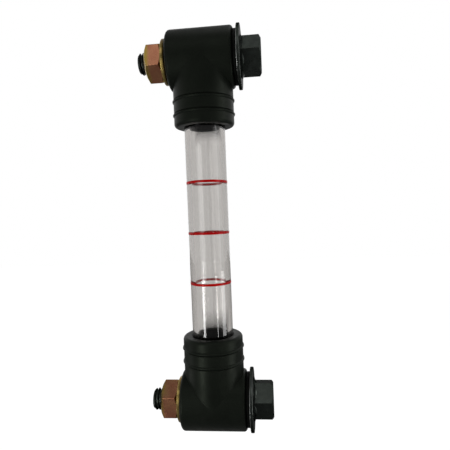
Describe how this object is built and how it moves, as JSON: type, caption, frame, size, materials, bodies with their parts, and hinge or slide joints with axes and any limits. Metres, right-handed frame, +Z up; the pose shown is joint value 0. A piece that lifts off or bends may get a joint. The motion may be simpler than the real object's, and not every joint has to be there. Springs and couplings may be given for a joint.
{
  "type": "oil level sight gauge",
  "caption": "Upright clear sight tube with red level lines between black elbows, each held on a tank wall by a hollow cross-drilled bolt with washers, seals and a nut.",
  "frame": {"origin": "on the sight tube's centre line, midway between the axes of the two bolts", "axes": "+Z up along the tube, +X from the tank wall towards the bolt heads, +Y away from the camera of the picture"},
  "size_m": [0.0571, 0.0292, 0.1892],
  "materials": {
    "clear_tube": "clear, polished",
    "red_line": "baked enamel",
    "black_moulding": "satin moulded",
    "black_steel": "black oxide",
    "yellow_zinc": "iridescent yellow zinc",
    "seal_rubber": "matt"
  },
  "bodies": {
    "root": {"sight_tube": "clear_tube", "high_level_line": "red_line", "middle_level_line": "red_line", "low_level_line": "red_line", "upper_elbow": "black_moulding", "upper_banjo_bolt": "black_steel", "upper_nut": "yellow_zinc", "upper_inner_tube_ring": "seal_rubber", "upper_outer_tube_ring": "seal_rubber", "upper_nut_washer": "yellow_zinc", "upper_wall_ring": "seal_rubber", "upper_head_gasket": "seal_rubber", "upper_head_washer": "black_steel", "lower_elbow": "black_moulding", "lower_banjo_bolt": "black_steel", "lower_nut": "yellow_zinc", "lower_inner_tube_ring": "seal_rubber", "lower_outer_tube_ring": "seal_rubber", "lower_nut_washer": "yellow_zinc", "lower_wall_ring": "seal_rubber", "lower_head_gasket": "seal_rubber", "lower_head_washer": "black_steel"}
  },
  "joints": []
}
